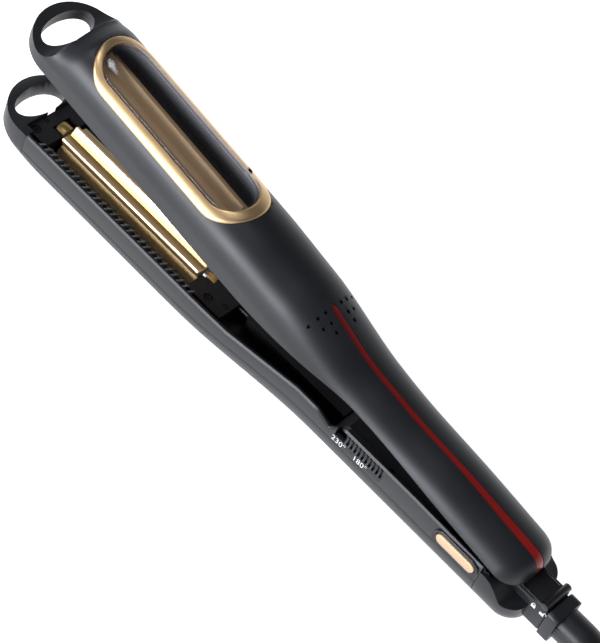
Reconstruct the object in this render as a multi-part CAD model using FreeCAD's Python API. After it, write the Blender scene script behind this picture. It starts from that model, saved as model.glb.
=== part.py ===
import FreeCAD, Part
import os
from math import atan2, cos, degrees, pi, radians, sin, sqrt, tan

V = FreeCAD.Vector
os.makedirs("parts", exist_ok=True)

# An automatic hair crimper, shown open. Millimetres. While it is drawn, X runs from the tip (0) to the tail,
# Y across, Z up, and the upper arm is drawn closed. place() then opens the upper arm and moves the origin
# to the middle of the object's length, on the surface that it lies on.
tailEnd = 322.5        # rear face of the collar
originX = tailEnd / 2
openAngle = 8.8        # degrees between the arms at rest
hingeX = 285.6
hingeZ = 20.2

# both arms, in plan
headHalf = 19.3        # half width of the head
handleHalf = 16.9      # half width of the handle
neckFrom = 122         # where the head starts to narrow
neckTo = 200           # where the handle begins
wall = 2.0             # casing thickness
gap = 0.3              # clearance between neighbours

# lower arm
splitHead = 22.4       # height where the arms meet, at the head
splitHandle = 29.4     # and at the handle
seamHead = 13.0        # joint between back shell and side frame, at the head
seamHandle = 18.8
handleLift = 4.5       # how much the handle's underside stands above the head's
footHalf = 7.0         # half width of the flat that it lies on
rimStep = 0.7          # the side walls lean in by this towards the rim
tipSeamX = 24.0        # joint between tip loop and side frame
sideEndX = 288.0       # joint between side frame and rear housing
deckTop = 20.0         # top of the bearing blocks
ledgeTop = 18.6
holeX = 12.1           # centre of the loop's hole
holeA = 7.0            # half length of the hole along the arm
holeB = 12.0           # half width of the hole

# rollers
rollerFrom = 33.0
rollerTo = 117.5
crestR = 8.5
valleyR = 5.5
fluteCount = 6
lowerAxisZ = 15.4
upperAxisZ = 29.8
lowerCrestAngle = 78.0
upperCrestAngle = 72.0
axleR = 3.2
axleBoreR = 2.0
heaterR = 1.6
bushR = 4.6
bushLength = 5.0
runFit = 0.05

# upper arm
crownHead = 46.9       # top of the head's crown
bandHeight = 3.6       # visible height of the inner frame
loopFace = 29.4        # top of the upper loop
scoopR = 10.0
ridgeX = 22.5          # where the crown ends above the loop
domeEnd = 302.0        # rear end of the upper arm
bezelFrom = 31.2
bezelTo = 126.1
bezelHalf = 16.05
lensFrom = 34.4
lensTo = 122.4
lensHalf = 12.8
stripFrom = 170.0
stripHalf = 1.7
ventR = 0.6
ventRows = [(172.2, (4.3, 8.2, 12.2)), (176.6, (4.8, 8.9)), (180.5, (5.3,))]

# tail
neckHalf = 6.8
neckBottom = 10.3
neckTop = 23.6
housingTop = 25.4
housingLow = 16.5
spineFrom = 293.0        # the neck starts inside the housing
rearEnd = 309.0
collarFrom = 317.0
collarHalf = 8.1
collarHigh = 8.0
tailZ = 17.4           # height of the cord's axis at the collar
lockTravel = 5.5
ridgeFrom = 312.4
ridgeHalf = 7.4

# cord
cordR = 3.1
bootR = 7.4
bootBend = 24.0
bootBendR = 20.0
bootStraight = 8.5
bootCone = 13.3
hankFrom = 408.0       # where the hank's straight runs start
hankRun = 93.0
hankFoldR = 18.6       # inner fold, at the middle of the cord
hankWide = 2
hankLayers = 3
hankY = 8.6
hankLift = 0.8         # the tie passes under the runs
tieThick = 0.4
tieWide = 5.0

shapes = {}


def smooth(x, x0, x1, a, b):
    s = min(max((x - x0) / (x1 - x0), 0.0), 1.0)
    return a + (b - a) * s * s * (3 - 2 * s)


def through(x, points):
    """Height at x on a smooth line through (x, height) points."""
    for (x0, a), (x1, b) in zip(points, points[1:]):
        if x <= x1:
            return smooth(x, x0, x1, a, b)
    return points[-1][1]


def half(x):
    return smooth(x, neckFrom, neckTo, headHalf, handleHalf)


def split(x):
    return smooth(x, 142, 208, splitHead, splitHandle)


def seam(x):
    return smooth(x, 112, 192, seamHead, seamHandle)


def floor(x):
    return smooth(x, 120, 196, 0.0, handleLift)


def crown(x):
    rise = [(0, 36.0), (ridgeX, 42.6), (32, crownHead), (130, crownHead), (155, 46.2), (205, 38.4)]
    rear = [(205, 38.4), (226, 38.4), (262, 40.2), (domeEnd + 4, 39.6)]
    return through(x, rise if x < 205 else rear)


def box(x0, x1, y0, y1, z0, z1):
    return Part.makeBox(x1 - x0, y1 - y0, z1 - z0, V(x0, y0, z0))


def rod(p, q, r):
    a, b = V(*p), V(*q)
    return Part.makeCylinder(r, (b - a).Length, a, b - a)


def tube(p, q, outer, inner):
    return rod(p, q, outer).cut(rod(p, q, inner))


def prism(points, direction):
    """A polygon's solid; the points are closed here."""
    pts = [V(*p) for p in points]
    return Part.Face(Part.makePolygon(pts + pts[:1])).extrude(V(*direction))


def bar(x0, x1, z0, z1, y0=-40, y1=40, xs=None):
    """The solid between two side curves z0(x) and z1(x)."""
    stops = [x0] + [x for x in (xs or []) if x0 < x < x1] + [x1]
    under = [(x, y0, z0(x)) for x in stops]
    over = [(x, y0, z1(x)) for x in reversed(stops)]
    return prism(under + over, (0, y1 - y0, 0))


def flat(z):
    return lambda x: z


def stadium(x0, x1, h, z0, z1):
    """An upright slab with round ends, from x0 to x1, half width h."""
    middle = box(x0 + h, x1 - h, -h, h, z0, z1)
    ends = [Part.makeCylinder(h, z1 - z0, V(x, 0, z0)) for x in (x0 + h, x1 - h)]
    return middle.fuse(ends).removeSplitter()


def sideStadium(x0, x1, z0, z1, y0, y1):
    """A slab with round ends in the side view."""
    r = (z1 - z0) / 2
    zc = (z0 + z1) / 2
    middle = box(x0 + r, x1 - r, y0, y1, z0, z1)
    ends = [rod((x, y0, zc), (x, y1, zc), r) for x in (x0 + r, x1 - r)]
    return middle.fuse(ends).removeSplitter()


def roundedBox(x0, x1, h, z0, z1, r):
    b = box(x0, x1, -h, h, z0, z1)
    along = [e for e in b.Edges if abs(e.tangentAt(e.FirstParameter).x) > 0.9]
    return b.makeFillet(r, along)


def oval(x, a, b, z0, z1, grow=0.0):
    """An upright oval plug; grow widens its lower end."""
    def ring(z, more):
        curve = Part.Ellipse(V(x, b + more, z), V(x + a + more, 0, z), V(x, 0, z))
        return Part.Wire(curve.toShape())
    return Part.makeLoft([ring(z0, grow), ring(z1, 0.0)], True, True)


def planCut(h, x0, x1, rearR):
    """The arm's outline from above: a round tip and two rounded rear corners."""
    tip = Part.makeCylinder(h, 90, V(x0 + h, 0, -10))
    middle = box(x0 + h, x1 - rearR, -h, h, -10, 80)
    rear = box(x1 - rearR - 1, x1, -h + rearR, h - rearR, -10, 80)
    return tip.fuse([middle, rear])


def rearCorners(body, h, x1, r):
    """Rounds the two rear corners of a body in plan."""
    for side in (-1, 1):
        yc = side * (h - r)
        block = box(x1 - r, x1 + 5, min(yc, side * 30), max(yc, side * 30), -10, 80)
        body = body.cut(block.cut(Part.makeCylinder(r, 100, V(x1 - r, yc, -15))))
    return body


# ---- the lower arm's hull

lowerStations = [-1, 60, 110, 122, 134, 146, 158, 170, 182, 194, 206, 250, rearEnd + 1]


def lowerSection(x, inset):
    w = half(x) - inset
    rim = w - rimStep
    z0 = floor(x) + inset
    zs = seam(x)
    foot = min(footHalf, w - 8)
    top = 60
    # the corner between foot and side is part of an ellipse
    corner = V(x, foot + (w - foot) * 0.74, z0 + (zs - z0) * 0.36)
    mirror = V(x, -corner.y, corner.z)
    edges = [
        Part.makeLine(V(x, -foot, z0), V(x, foot, z0)),
        Part.Arc(V(x, foot, z0), corner, V(x, w, zs)).toShape(),
        Part.makeLine(V(x, w, zs), V(x, rim, top)),
        Part.makeLine(V(x, rim, top), V(x, -rim, top)),
        Part.makeLine(V(x, -rim, top), V(x, -w, zs)),
        Part.Arc(V(x, -w, zs), mirror, V(x, -foot, z0)).toShape(),
    ]
    return Part.Wire(edges)


def lowerHull(inset, x0, x1):
    stops = [x0] + [x for x in lowerStations if x0 < x < x1] + [x1]
    return Part.makeLoft([lowerSection(x, inset) for x in stops], True, True)


def underTip(x):
    """The underside sweeps up at the tip."""
    reach, rise = 26.0, 17.0
    s = min(max((reach - x) / reach, 0.0), 1.0)
    return rise * (1 - sqrt(1 - s * s))


tipStops = [1, 2, 4, 7, 11, 16, 21]
neckStops = list(range(115, 210, 5))
lowerOuter = lowerHull(0, -1, rearEnd).common(planCut(headHalf, 0, rearEnd + 20, 1))
lowerOuter = lowerOuter.cut(bar(-2, 26, flat(-5), underTip, xs=[0] + tipStops))
lowerInner = lowerHull(wall, tipSeamX - 1, sideEndX + 1)

tipLoop = lowerOuter.common(bar(-2, tipSeamX, flat(-5), flat(splitHead - 0.4)))
tipLoop = tipLoop.cut(oval(holeX, holeA, holeB, 16.5, 40))
tipLoop = tipLoop.cut(oval(holeX, holeA, holeB, -2, 16.6, grow=4.0))
tipLoop = tipLoop.cut(box(19.4, 30, -14.4, 14.4, 4, 40))
shapes["lower_tip_loop"] = tipLoop

casing = lowerOuter.cut(lowerInner)
backShell = casing.common(bar(tipSeamX + 0.1, sideEndX, flat(-5), seam, xs=neckStops))

sideTop = [(tipSeamX, 22.0), (145, 22.0), (165, 24.3), (184, 26.6), (195, 26.3), (204, 22.8), (211, 29.3),
           (250, 29.3), (sideEndX, 28.4)]
sideProfile = [(x, -40, z) for x, z in sideTop]
sideProfile[0] = (tipSeamX + 0.1, -40, 22.0)
sideProfile += [(x, -40, seam(x)) for x in [sideEndX] + neckStops[::-1] + [tipSeamX + 0.1]]
sideFrame = casing.common(prism(sideProfile, (0, 80, 0)))

# switch slot and button hole in the near side wall
switchZ = (22.9, 28.2)
switchX = (207.6, 233.6)
switchTravel = 5.0
buttonX = (263.6, 288.0)
buttonZ = (19.3, 28.1)
sideFrame = sideFrame.cut(box(switchX[0], switchX[1], -20, -12, switchZ[0], switchZ[1]))
ringOuter = (buttonX[0] + 0.1, buttonX[1] - 0.6, buttonZ[0] + 0.1, buttonZ[1] - 0.1)
sideFrame = sideFrame.cut(sideStadium(ringOuter[0], ringOuter[1], ringOuter[2], ringOuter[3], -20, -12))
shapes["lower_side_frame"] = sideFrame

# ---- rear housing, neck, slider and collar


def housingRoof(x):
    return smooth(x, 292, 307, housingTop, housingLow)


def cavityRoof(x):
    return housingRoof(x) - wall - 1.9


rearBody = lowerHull(0, sideEndX + 0.1, rearEnd)
housingStops = [292 + i for i in range(16)]
rearBody = rearBody.common(bar(sideEndX, rearEnd, flat(-5), housingRoof, xs=housingStops))
rearBody = rearCorners(rearBody, handleHalf, rearEnd, 9.0)
cavity = lowerHull(wall, sideEndX - 1, rearEnd - wall)
cavity = cavity.common(bar(sideEndX - 1, rearEnd, flat(-5), cavityRoof, xs=housingStops))
rearBody = rearBody.cut(rearCorners(cavity, handleHalf - wall, rearEnd - wall, 7.5))
neck = roundedBox(spineFrom, collarFrom, neckHalf, neckBottom, neckTop, 1.2)
rearBody = rearBody.fuse(neck).cut(rod((290, 0, tailZ), (320, 0, tailZ), cordR + 0.3))
rearBody = rearBody.cut(box(287, 292, -14, 14, 12, 30))
channelX = 290.0
rearBody = rearBody.cut(box(channelX, rearEnd + 1, -neckHalf - gap, neckHalf + gap, neckTop, 30))
rearBody = rearBody.cut(box(ridgeFrom - lockTravel - 0.5, rearEnd + 1, -ridgeHalf - 0.4, ridgeHalf + 0.4, 23.9, 30))
shapes["rear_housing"] = rearBody.removeSplitter()

plateFrom = channelX + lockTravel + 0.5
plate = box(plateFrom, collarFrom - 0.6, -neckHalf, neckHalf, neckTop + 0.1, 25.1)
notch = box(plateFrom - 1, plateFrom + 4, -3, 3, neckTop, 30)
ridge = roundedBox(ridgeFrom, collarFrom - 0.6, ridgeHalf, 24.2, 27.8, 1.0)
shapes["lock_slider"] = plate.cut(notch).fuse(ridge).removeSplitter()

collar = roundedBox(collarFrom, tailEnd, collarHalf, tailZ - collarHigh, tailZ + collarHigh, 2.5)
shapes["tail_collar"] = collar.cut(rod((310, 0, tailZ), (330, 0, tailZ), cordR + 0.3))

# ---- bearing blocks, deck, combs


def cutPocket(block, x0, x1, z):
    """A square well around a shaft's end, open at the top."""
    return block.cut(box(x0, x1, -4.9, 4.9, z - 5, 60))


frontBlock = box(19.6, 31.8, -14.2, 14.2, 7.0, deckTop)
frontBlock = frontBlock.common(lowerOuter.common(planCut(headHalf - wall, wall, 300, 1)))
frontBlock = frontBlock.cut(oval(holeX, holeA, holeB, -5, 40))
frontBlock = cutPocket(frontBlock, 25.6, 31.9, lowerAxisZ)
rearBlock = box(118.8, 138.6, -14.2, 14.2, 7.0, deckTop)
rearBlock = cutPocket(rearBlock, 118.7, 124.9, lowerAxisZ)
rearBlock = rearBlock.cut(rod((118, 0, lowerAxisZ), (140, 0, lowerAxisZ), axleR + 0.5))
screwSpots = [(22.6, 11.4), (128.5, 10.8)]
headR, shankR = 1.9, 1.1
screws = []
for x, y in screwSpots:
    for s in (-1, 1):
        well = rod((x, s * y, deckTop - 1.4), (x, s * y, 40), headR + 0.35)
        hole = rod((x, s * y, 10), (x, s * y, 30), shankR + runFit)
        frontBlock = frontBlock.cut(well).cut(hole)
        rearBlock = rearBlock.cut(well).cut(hole)
        head = rod((x, s * y, deckTop - 1.4), (x, s * y, deckTop - 0.4), headR)
        head = head.cut(box(x - 1.1, x + 1.1, s * y - 0.2, s * y + 0.2, deckTop - 0.9, 30))
        head = head.cut(box(x - 0.2, x + 0.2, s * y - 1.1, s * y + 1.1, deckTop - 0.9, 30))
        screws.append(head.fuse(rod((x, s * y, 11), (x, s * y, deckTop - 1.4), shankR)))
for x, block in ((21.3, "front"), (136.1, "rear")):
    y = -4.4 if block == "front" else -7.9
    for dy in (-0.55, 0.55):
        slot = box(x - 1.8, x + 1.8, y + dy - 0.25, y + dy + 0.25, deckTop - 1.0, 30)
        if block == "front":
            frontBlock = frontBlock.cut(slot)
        else:
            rearBlock = rearBlock.cut(slot)
frontBlock = frontBlock.cut(rod((23, 0, lowerAxisZ), (26, 0, lowerAxisZ), heaterR + runFit))
shapes["front_bearing_block"] = frontBlock
shapes["rear_bearing_block"] = rearBlock
shapes["block_screws"] = Part.makeCompound(screws)

troughFrom = 138.8
troughTo = 204.0


def troughSection(x, drop):
    w = half(x) - wall - 0.15
    low = 12.8 - drop
    high = min(split(x) - 1.6, 21.5) - drop
    down = -1.6
    arc = Part.Arc(V(x, -w, high), V(x, 0, low), V(x, w, high)).toShape()
    back = Part.Arc(V(x, w, high + down), V(x, 0, low + down), V(x, -w, high + down)).toShape()
    side = Part.makeLine(V(x, w, high), V(x, w, high + down))
    near = Part.makeLine(V(x, -w, high + down), V(x, -w, high))
    return Part.Wire([arc, side, back, near])


stops = [troughFrom] + [x for x in lowerStations if troughFrom < x < troughTo] + [troughTo]
trough = Part.makeLoft([troughSection(x, 0.0) for x in stops], True, True)
ledges = []
for s in (-1, 1):
    y0, y1 = 14.3, headHalf - wall - 0.2
    ledges.append(box(tipSeamX + 2.2, troughFrom, min(s * y0, s * y1), max(s * y0, s * y1), 17.0, ledgeTop))
ledge = Part.makeCompound(ledges).common(lowerHull(wall + 0.15, tipSeamX + 2.1, 200))
ledge = ledge.common(planCut(headHalf - wall - 0.2, wall + 0.2, 300, 1))
shapes["lower_inner_deck"] = trough.fuse(ledge.Solids).removeSplitter()

finCount = 28
finFrom = 34.0
finPitch = 3.08
finWide = 1.1
combs = []
for s in (-1, 1):
    rail = box(31.9, 118.7, min(s * 12.2, s * 14.2), max(s * 12.2, s * 14.2), 12.5, 18.0)
    fins = []
    for i in range(finCount):
        x = finFrom + i * finPitch - finWide / 2
        face = [(x, s * 14.2, 14), (x, s * 14.2, 18.6), (x, s * 13.5, 21.9), (x, s * 10.4, 21.0), (x, s * 10.0, 14)]
        fins.append(prism(face, (finWide, 0, 0)))
    combs.append(rail.fuse(fins).removeSplitter())
shapes["lower_combs"] = Part.makeCompound(combs)

# the cover over the drive shaft stands in the trough
coverFrom, coverTo, coverHalf, coverTop = 143.4, 203.2, 5.4, 20.0
cover = stadium(coverFrom, coverTo + 10, coverHalf, 8.0, coverTop)
inside = stadium(coverFrom + 1.5, coverTo + 9, coverHalf - 1.5, 7.0, coverTop - 1.5)
cover = cover.cut(inside).common(box(100, coverTo, -10, 10, 0, 40))
under = Part.makeLoft([troughSection(x, 0.0) for x in stops], True, True)
below = bar(130, 210, flat(0), flat(12.85))
cover = cover.cut(under).cut(below)
cover = cover.cut(rod((140, 0, lowerAxisZ), (150, 0, lowerAxisZ), 2.6))
cover = max(cover.Solids, key=lambda s: s.Volume)
shapes["drive_shaft_cover"] = cover

# the deck over the handle's electrics, with its sloping front
rearDeckTop = 28.2
deckPoints = [(204.1, 0, 18.0), (205.6, 0, 18.0), (211.0, 0, 26.9), (279.0, 0, 26.9), (279.0, 0, rearDeckTop),
              (210.2, 0, rearDeckTop), (204.1, 0, 19.9)]
rearDeck = prism(deckPoints, (0, 60, 0))
rearDeck.translate(V(0, -30, 0))
rearDeck = rearDeck.common(lowerHull(wall + 0.15, 203, 281))
rearDeck = rearDeck.cut(box(switchX[0] - 3, switchX[1] + 3, -20, -12.9, 18, 29))
rearDeck = rearDeck.cut(box(buttonX[0] - 1, 290, -20, -12.6, 18, 29))
shapes["rear_deck"] = rearDeck

# ---- rollers, axles, bushes, heaters


def roller(axisZ, crestAngle):
    """A fluted barrel along X; the crests and valleys are slightly flattened."""
    points = []
    step = 360.0 / fluteCount
    for i in range(fluteCount):
        a = crestAngle + i * step
        points += [(crestR, a - 2.2), (crestR, a + 2.2), (valleyR, a + step / 2 - 4), (valleyR, a + step / 2 + 4)]
    ring = [(rollerFrom, r * cos(radians(a)), axisZ + r * sin(radians(a))) for r, a in points]
    body = prism(ring, (rollerTo - rollerFrom, 0, 0))
    return body.cut(rod((rollerFrom - 1, 0, axisZ), (rollerTo + 1, 0, axisZ), axleR))


bushSpots = (26.0, 119.4)
axleFrom, axleTo = 25.8, 126.0
for name, z, angle in (("lower", lowerAxisZ, lowerCrestAngle), ("upper", upperAxisZ, upperCrestAngle)):
    shapes[name + "_roller"] = roller(z, angle)
    shapes[name + "_roller_axle"] = tube((axleFrom, 0, z), (axleTo, 0, z), axleR, axleBoreR)
    bushes = [tube((x, 0, z), (x + bushLength, 0, z), bushR, axleR + runFit) for x in bushSpots]
    shapes[name + "_bushes"] = Part.makeCompound(bushes)
    shapes[name + "_heater_rod"] = rod((24.2, 0, z), (112.0, 0, z), heaterR)

# ---- drive train in the handle

shaftR = 1.8
shapes["drive_shaft"] = rod((axleTo - 5, 0, lowerAxisZ), (205.0, 0, lowerAxisZ), shaftR).fuse(
    rod((axleTo, 0, lowerAxisZ), (axleTo + 6, 0, lowerAxisZ), axleR))
gearbox = rod((212.0, 0, lowerAxisZ), (226.0, 0, lowerAxisZ), 8.0)
gearbox = gearbox.fuse(tube((210.2, 0, lowerAxisZ), (212.0, 0, lowerAxisZ), 3.2, 1.7))
shapes["motor_gearbox"] = gearbox.cut(rod((209, 0, lowerAxisZ), (216.2, 0, lowerAxisZ), 1.6))
can = rod((226.0, 0, lowerAxisZ), (252.0, 0, lowerAxisZ), 8.0)
can = can.common(box(200, 260, -9, 9, lowerAxisZ - 6.4, lowerAxisZ + 6.4))
shapes["motor"] = can.fuse(rod((252.0, 0, lowerAxisZ), (254.2, 0, lowerAxisZ), 2.6))
shapes["output_shaft"] = rod((205.2, 0, lowerAxisZ), (216.0, 0, lowerAxisZ), 1.5).cut(
    box(200, 205.2, -5, 5, 0, 40))
couplingR = 2.5
shapes["shaft_coupling"] = tube((199.0, 0, lowerAxisZ), (205.1, 0, lowerAxisZ), couplingR, shaftR).fuse(
    tube((205.1, 0, lowerAxisZ), (209.6, 0, lowerAxisZ), couplingR, 1.5))

mounts = []
for x in (213.0, 246.0):
    saddle = box(x, x + 4, -10.5, 10.5, handleLift + wall + 0.1, lowerAxisZ)
    mounts.append(saddle.cut(rod((x - 1, 0, lowerAxisZ), (x + 5, 0, lowerAxisZ), 8.05)))
saddles = Part.makeCompound(mounts).common(lowerHull(wall + 0.1, 205, 260))
shapes["motor_saddles"] = saddles

# ---- electrics

shapes["control_board"] = box(236.0, 262.0, -12.0, 12.0, 25.2, 26.8)
shapes["board_parts"] = Part.makeCompound([
    box(238, 246, 2, 9, 24.0, 25.2),
    box(249, 256, -4, 3, 23.9, 25.2),
    rod((259.2, 6, 23.95), (259.2, 6, 25.2), 2.2),
])
slideSwitch = box(211.5, 231.5, -12.8, -9.2, 23.4, 26.8)
shapes["slide_switch"] = slideSwitch
shapes["button_switch"] = box(269.0, 280.4, -12.0, -6.4, 20.8, 26.8)
leads = [rod((139.2, s * 8.4, 9.4), (204.0, s * 7.0, 11.4), 0.9) for s in (-1, 1)]
shapes["heater_leads"] = Part.makeCompound(leads)
shapes["thermal_fuse"] = rod((142.0, 10.6, 7.2), (154.0, 10.6, 7.2), 1.6).fuse(
    rod((154.0, 10.6, 7.2), (160.0, 10.6, 7.2), 0.5))

# ---- switch slider and push button

knobLength = switchX[1] - switchX[0] - switchTravel - 2 * gap
knobFrom = switchX[1] - gap - knobLength
knob = box(knobFrom, knobFrom + knobLength, -16.2, -13.1, switchZ[0] + gap, switchZ[1] - gap)
ribCount = 10
ribPitch = knobLength / ribCount
for i in range(ribCount):
    x = knobFrom + (i + 0.15) * ribPitch
    low, high = switchZ[0] + gap, switchZ[1] - gap
    rib = prism([(x, -17.1, low), (x + 0.8, -17.1, low), (x + 1.25, -16.7, high), (x + 0.45, -16.7, high)], (0, 1.2, 0))
    knob = knob.fuse(rib)
knob = knob.common(box(knobFrom, knobFrom + knobLength, -20, 0, 0, 40))
flange = box(knobFrom - 1.2, knobFrom + knobLength + 1.2, -14.3, -13.1, switchZ[0] - 0.7, switchZ[1] + 0.5)
shapes["temperature_slider"] = knob.fuse(flange).removeSplitter()

ring = sideStadium(ringOuter[0] + 0.05, ringOuter[1] - 0.05, ringOuter[2] + 0.05, ringOuter[3] - 0.05, -17.2, -14.9)
hole = (ringOuter[0] + 1.3, ringOuter[1] - 1.3, ringOuter[2] + 1.1, ringOuter[3] - 1.1)
shapes["button_ring"] = ring.cut(sideStadium(hole[0], hole[1], hole[2], hole[3], -20, -10))
cap = sideStadium(hole[0] + gap, hole[1] - gap, hole[2] + gap, hole[3] - gap, -17.7, -14.2)
stem = box(273.5, 278.5, -14.2, -13.1, 22.2, 25.2)
lip = sideStadium(hole[0] - 0.5, hole[1] + 0.5, hole[2] - 0.5, hole[3] + 0.5, -14.5, -13.9)
shapes["push_button"] = cap.fuse([stem, lip]).removeSplitter()
buttonTravel = 1.0

# ---- hinge

pinR = 2.0
shapes["hinge_pin"] = rod((hingeX, -12.6, hingeZ), (hingeX, 12.6, hingeZ), pinR)
ears = []
for s in (-1, 1):
    y0, y1 = sorted((s * 11.6, s * 12.6))
    ear = box(hingeX - 4.6, hingeX + 2.2, y0, y1, 12.8, hingeZ).fuse(
        rod((hingeX, y0, hingeZ), (hingeX, y1, hingeZ), 3.6))
    ears.append(ear.cut(rod((hingeX, y0 - 1, hingeZ), (hingeX, y1 + 1, hingeZ), pinR)))
base = box(hingeX - 4.6, hingeX + 2.2, -11.6, 11.6, 12.8, 14.4)
shapes["hinge_bracket"] = base.fuse(ears).removeSplitter()
lugs = []
lugTop = splitHandle + 0.5
for s in (-1, 1):
    y0, y1 = sorted((s * 8.6, s * 11.3))
    lug = box(hingeX - 4.4, hingeX + 4.4, y0, y1, hingeZ, lugTop).fuse(
        rod((hingeX, y0, hingeZ), (hingeX, y1, hingeZ), 4.4))
    lugs.append(lug.cut(rod((hingeX, y0 - 1, hingeZ), (hingeX, y1 + 1, hingeZ), pinR + runFit)))
bridge = box(hingeX - 4.4, hingeX + 4.4, -8.6, 8.6, lugTop - 1.5, lugTop)
shapes["upper_hinge_lugs"] = bridge.fuse(lugs).removeSplitter()
shapes["hinge_spring"] = tube((hingeX, -7.8, hingeZ), (hingeX, 7.8, hingeZ), 3.6, 2.6)

# screws that hold the back shell, from below
shellScrews = []
for x in (219.5, 266.0):
    z0 = floor(x)
    backShell = backShell.cut(rod((x, 0, z0 - 1), (x, 0, z0 + 1.2), 2.6))
    backShell = backShell.cut(rod((x, 0, z0), (x, 0, z0 + 3), 1.3))
    screw = rod((x, 0, z0 + 0.2), (x, 0, z0 + 1.2), 2.2).fuse(rod((x, 0, z0 + 1.2), (x, 0, z0 + 2.6), 1.2))
    shellScrews.append(screw)
shapes["lower_back_shell"] = backShell
shapes["shell_screws"] = Part.makeCompound(shellScrews)

# ---- the upper arm, drawn closed

upperStations = [-1, 8, 16, ridgeX, 27, 32, 60, 120, 130, 140, 150, 158, 166, 174, 182, 190, 198, 206, 216, 230,
                 246, 262, 280, domeEnd + 1]


def upperSection(x, inset):
    """Flat base, near-upright sides, round shoulders and a crowned top."""
    w = half(x) + smooth(x, 150, 210, 0.2, -0.4) - inset
    top = crown(x) - inset
    base = 20.0
    sideTop = smooth(x, 140, 206, 29.0, 29.0)
    shoulderY = w * smooth(x, 140, 206, 0.83, 0.74)
    shoulderZ = top - smooth(x, 140, 206, 6.4, 4.0)
    if x < 32:
        shoulderZ = top - smooth(x, ridgeX, 32, 2.6, 6.4)
    bulgeY = w - (w - shoulderY) * 0.24
    bulgeZ = sideTop + (shoulderZ - sideTop) * 0.62
    edges = [
        Part.makeLine(V(x, -w, base), V(x, w, base)),
        Part.makeLine(V(x, w, base), V(x, w, sideTop)),
        Part.Arc(V(x, w, sideTop), V(x, bulgeY, bulgeZ), V(x, shoulderY, shoulderZ)).toShape(),
        Part.Arc(V(x, shoulderY, shoulderZ), V(x, 0, top), V(x, -shoulderY, shoulderZ)).toShape(),
        Part.Arc(V(x, -shoulderY, shoulderZ), V(x, -bulgeY, bulgeZ), V(x, -w, sideTop)).toShape(),
        Part.makeLine(V(x, -w, sideTop), V(x, -w, base)),
    ]
    return Part.Wire(edges)


def upperHull(inset, x0, x1):
    stops = [x0] + [x for x in upperStations if x0 < x < x1] + [x1]
    return Part.makeLoft([upperSection(x, inset) for x in stops], True, True)


def tailCut(inset):
    """The side view of the rear end: a square block with a rounded top corner."""
    x1, z1, r = domeEnd - inset, crown(domeEnd) - inset, 6.5
    block = box(-5, x1 - r, -40, 40, 0, 80).fuse(box(x1 - r, x1, -40, 40, 0, z1 - r))
    return block.fuse(rod((x1 - r, -40, z1 - r), (x1 - r, 40, z1 - r), r))


def under(x):
    return split(x) + 0.5


def band(x):
    return split(x) + 0.5 + bandHeight


upperOuter = upperHull(0, -1, domeEnd).common(planCut(headHalf + 0.2, 0, 400, 1)).common(tailCut(0))
upperOuter = rearCorners(upperOuter, handleHalf - 0.4, domeEnd, 10.0)
flatFace = box(-5, ridgeX - scoopR, -40, 40, loopFace, 80)
above = box(ridgeX - scoopR - 0.01, ridgeX, -40, 40, loopFace + scoopR, 80)
bowl = rod((ridgeX - scoopR, -40, loopFace + scoopR), (ridgeX - scoopR, 40, loopFace + scoopR), scoopR)
upperOuter = upperOuter.cut(flatFace).cut(above).cut(bowl)
upperHole = oval(holeX, holeA, holeB, 10, 60)
upperOuter = upperOuter.cut(upperHole)
upperInner = upperHull(wall, tipSeamX, domeEnd - wall).common(tailCut(wall))
upperInner = rearCorners(upperInner, handleHalf - 0.4 - wall, domeEnd - wall, 8.5)

stopsUp = [x for x in range(135, 215, 5)]
window = stadium(bezelFrom, bezelTo, bezelHalf, 20, 80)
topShell = upperOuter.cut(upperInner).common(bar(-5, domeEnd + 5, band, flat(90), xs=stopsUp))
topShell = topShell.cut(window)
stripSlot = stadium(stripFrom, domeEnd + 20, stripHalf, 20, 80)
stripBand = upperHull(0.5, 160, domeEnd + 0.5).common(tailCut(0.5))
stripBand = stripBand.cut(upperHull(1.6, 159, domeEnd - 1.6).common(tailCut(1.6)))
stripArea = bar(160, domeEnd + 1, flat(33.5), flat(90))
topShell = topShell.cut(stripSlot.common(stripArea))
for x, spots in ventRows:
    for y in spots:
        for s in (-1, 1):
            topShell = topShell.cut(rod((x, s * y, 34), (x, s * y, 60), ventR))
shapes["upper_top_shell"] = topShell

strip = stadium(stripFrom + 0.1, domeEnd + 20, stripHalf - 0.1, 20, 80).common(stripArea)
strip = strip.common(upperHull(0.4, 160, domeEnd - 0.4).common(tailCut(0.4)))
strip = strip.cut(upperHull(wall - 0.1, 159, domeEnd - wall + 0.1).common(tailCut(wall - 0.1)))
shapes["light_strip"] = max(strip.Solids, key=lambda s: s.Volume)

frame = upperOuter.common(bar(-5, domeEnd + 5, under, band, xs=stopsUp))
pan = upperInner.common(bar(20, domeEnd + 5, lambda x: under(x) + 1.6, flat(90), xs=stopsUp))
frame = frame.cut(pan)
frame = frame.cut(box(24.9, 126.0, -10.6, 10.6, 10, 60))
shapes["upper_inner_frame"] = frame

skin = upperHull(-0.4, 20, 160).cut(upperHull(1.8, 19, 161))
bezelRing = stadium(bezelFrom + 0.1, bezelTo - 0.1, bezelHalf - 0.1, 20, 80)
shapes["window_bezel"] = skin.common(bezelRing.cut(stadium(lensFrom, lensTo, lensHalf, 19, 81)))
pane = upperHull(-0.9, 20, 160).cut(upperHull(0.7, 19, 161))
shapes["window_lens"] = pane.common(stadium(lensFrom + 0.1, lensTo - 0.1, lensHalf - 0.1, 20, 80))

upperFloor = splitHead + 0.5


def upperBlock(x0, x1, well0, well1):
    """A block hanging inside the upper arm, with a well for one bush."""
    block = box(x0, x1, -10.5, 10.5, upperFloor, 36.0)
    return block.cut(box(well0, well1, -4.9, 4.9, 10, upperAxisZ + 5))


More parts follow.
